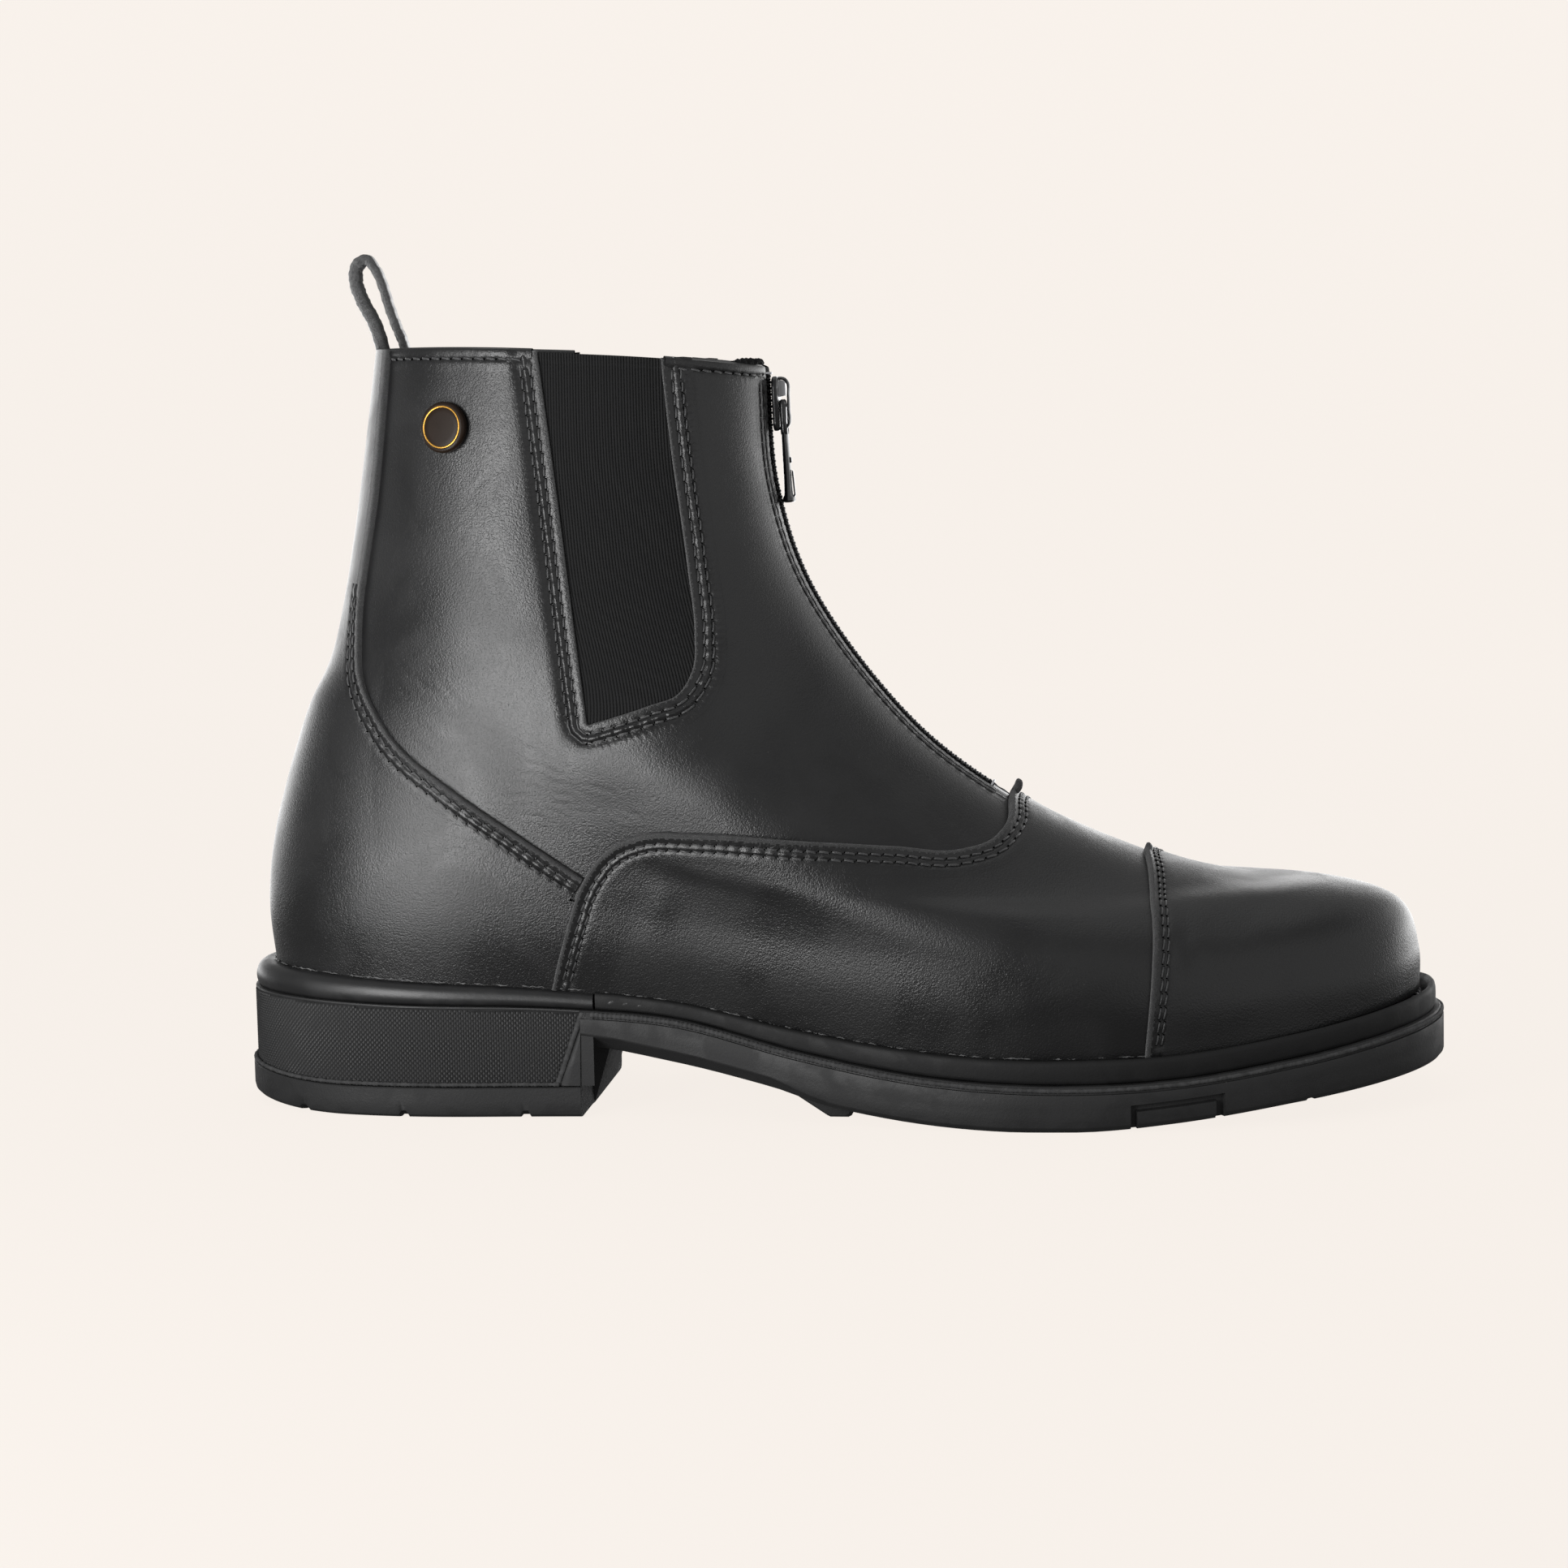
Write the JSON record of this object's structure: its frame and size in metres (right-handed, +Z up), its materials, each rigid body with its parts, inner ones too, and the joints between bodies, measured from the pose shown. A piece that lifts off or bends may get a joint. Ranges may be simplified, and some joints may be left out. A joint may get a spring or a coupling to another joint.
{
  "type": "jodhpur boot",
  "caption": "Ankle-high riding boot with a front zip, elastic side gores, toe cap, heel counter, pull loop and a welted rubber sole with a low heel",
  "frame": {"origin": "On the floor under the middle of the boot's overall box", "axes": "+X to the toe along the boot's length, -Y to the outer side of the foot, +Z up; the boot stands on z = 0"},
  "size_m": [0.2993, 0.1055, 0.2112],
  "materials": {
    "leather": "smooth black calf, softly polished",
    "rubber": "matt black moulded rubber",
    "elastic": "ribbed black elastic web",
    "zip_tape": "black woven tape with moulded teeth",
    "suede": "raw-edged dark grey strap",
    "lining": "dark lining board",
    "black_metal": "glossy black enamel",
    "bronze": "dark bronze, plain"
  },
  "bodies": {
    "boot": {"upper": "leather", "toe_cap": "leather", "vamp": "leather", "heel_counter": "leather", "gore_outer": "elastic", "gore_inner": "elastic", "zip": "zip_tape", "zip_slider": "black_metal", "badge_stud": "bronze", "pull_loop": "suede", "insole": "lining", "welt": "rubber", "heel_rand": "rubber", "outsole": "rubber"},
    "zip_pull": {"zip_pull": "black_metal"}
  },
  "joints": [
    {"name": "zip_pull_hinge", "type": "hinge", "parent": "boot", "child": "zip_pull", "pos_m": [-0.01085, 0.00007, 0.17239], "axis": [0, -1, 0], "range_deg": [0, 150]}
  ]
}
